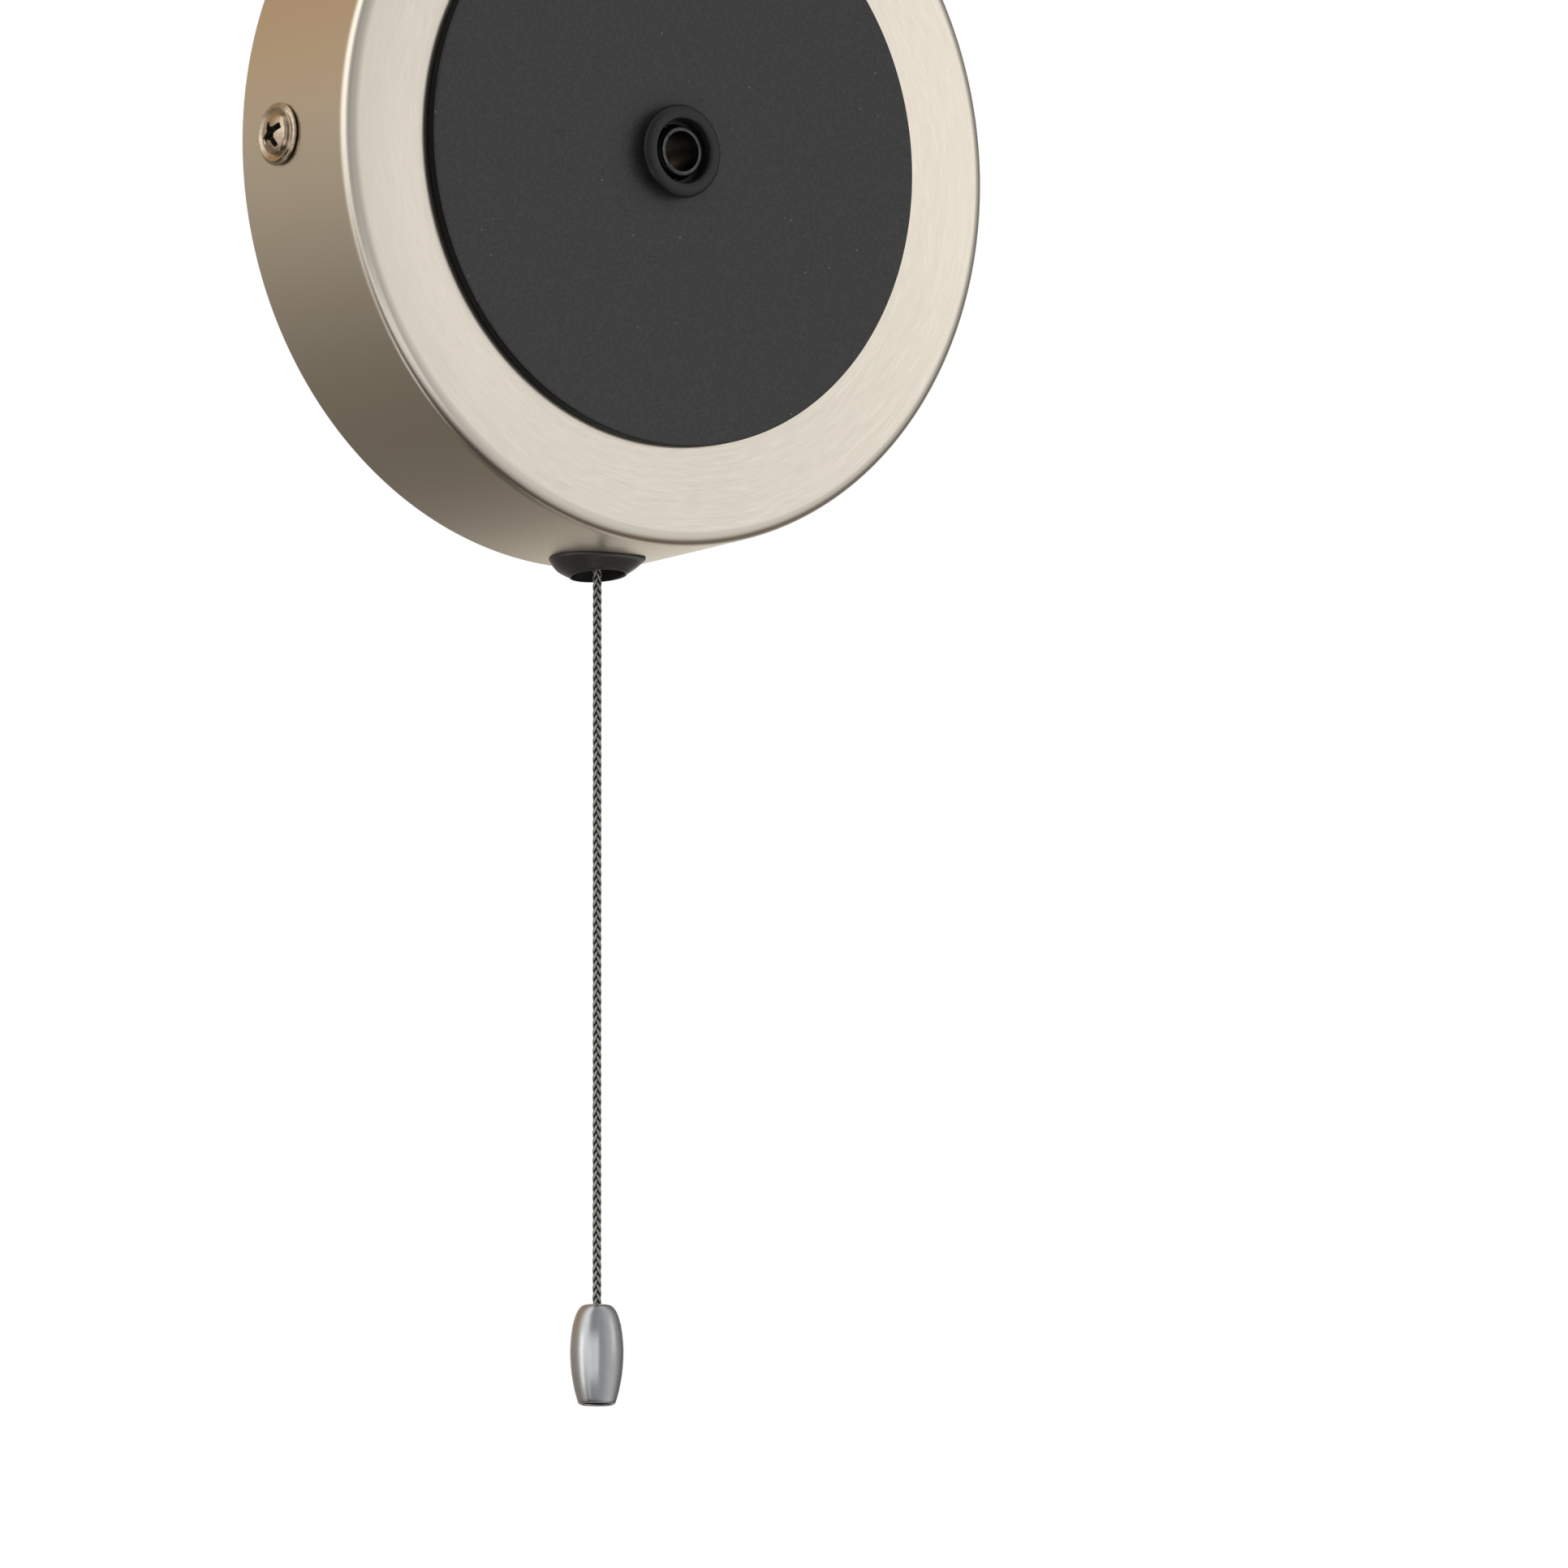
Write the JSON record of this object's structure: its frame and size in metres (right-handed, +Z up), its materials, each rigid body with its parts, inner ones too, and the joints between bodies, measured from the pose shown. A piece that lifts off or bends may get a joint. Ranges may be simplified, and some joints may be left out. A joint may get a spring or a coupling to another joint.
{
  "type": "pull cord switch",
  "caption": "Cord-operated ratchet switch in a round wall box, with a black front disc and collar, a bell-mouthed cord bush and a braided cord that ends in a barrel pull.",
  "frame": {"origin": "middle of the wall plane, on the axis of the round box", "axes": "-Y out of the wall towards the room, +Z up, +X to the right as seen from the room"},
  "size_m": [0.1232, 0.0306, 0.2475],
  "materials": {
    "nickel": "warm brushed nickel plate, turned grain",
    "black_coat": "matt black powder coat",
    "zinc": "bright zinc plate",
    "screw": "bright nickel plate",
    "brass": "plain brass",
    "black_plastic": "satin moulded black",
    "cream": "natural moulded",
    "nylon": "natural nylon",
    "bronze": "phosphor bronze spring strip",
    "silver": "silver contact faces",
    "brown_wire": "insulated lead",
    "blue_wire": "insulated lead",
    "braid": "grey and black braid",
    "pull_metal": "satin plated barrel"
  },
  "bodies": {
    "housing": {"canopy": "nickel", "wall_bracket": "zinc", "side_washer_left": "screw", "side_screw_left": "screw", "side_washer_right": "screw", "side_screw_right": "screw", "front_disc": "black_coat", "arm_collar": "black_coat", "arm_nipple": "zinc", "nipple_washer": "zinc", "nipple_nut": "zinc", "terminal_block": "cream", "terminal_tube_1": "brass", "terminal_tube_2": "brass", "terminal_tube_3": "brass", "terminal_screw_1": "zinc", "terminal_screw_2": "zinc", "terminal_screw_3": "zinc", "terminal_screw_4": "zinc", "terminal_screw_5": "zinc", "terminal_screw_6": "zinc", "block_screw_1": "zinc", "block_screw_2": "zinc", "earth_washer": "brass", "earth_screw": "brass", "cord_bush": "black_plastic", "bush_washer": "zinc", "bush_nut": "zinc", "switch_case": "black_plastic", "switch_cover": "black_plastic", "case_screw_1": "zinc", "case_screw_2": "zinc", "case_screw_3": "zinc", "return_spring": "zinc", "wheel_axle": "zinc", "fixed_contact": "silver", "common_terminal": "brass", "fixed_terminal": "brass", "lead_sleeve_1": "cream", "lead_sleeve_2": "cream", "switch_lead_1": "brown_wire", "switch_lead_2": "blue_wire"},
    "plunger": {"plunger": "nylon", "drive_pawl": "bronze", "plunger_knot": "braid", "cord_inner": "braid"},
    "wheel": {"ratchet_wheel": "nylon"},
    "leaf": {"contact_leaf": "bronze", "moving_contact": "silver"},
    "cord_bend": {"cord_bend": "braid"},
    "hanging_cord": {"cord_outer": "braid", "cord_pull": "pull_metal", "pull_knot": "braid"}
  },
  "joints": [
    {"name": "cord_stroke", "type": "slide", "parent": "housing", "child": "plunger", "axis": [0, 0, -1], "range_m": [0, 0.008], "stiffness_N_per_m": 1500, "springref_m": -0.004, "deforming": ["return_spring"]},
    {"name": "wheel_index", "type": "hinge", "parent": "housing", "child": "wheel", "pos_m": [0.0082, -0.008, -0.0408], "axis": [0, -1, 0], "range_deg": [0, 90]},
    {"name": "leaf_flex", "type": "hinge", "parent": "housing", "child": "leaf", "pos_m": [0.01165, -0.008, -0.0321], "axis": [0, -1, 0], "range_deg": [0, 8]},
    {"name": "cord_swing_side", "type": "hinge", "parent": "plunger", "child": "cord_bend", "pos_m": [0, -0.008, -0.0587], "axis": [0, 1, 0], "range_deg": [-30, 30]},
    {"name": "cord_swing_fore", "type": "hinge", "parent": "cord_bend", "child": "hanging_cord", "pos_m": [0, -0.008, -0.0587], "axis": [1, 0, 0], "range_deg": [-30, 1.5]}
  ],
  "couplings": [
    {"joint": "wheel_index", "follows": "cord_stroke", "rad_per_m": 196.3},
    {"joint": "leaf_flex", "follows": "cord_stroke", "rad_per_m": 17.15}
  ]
}
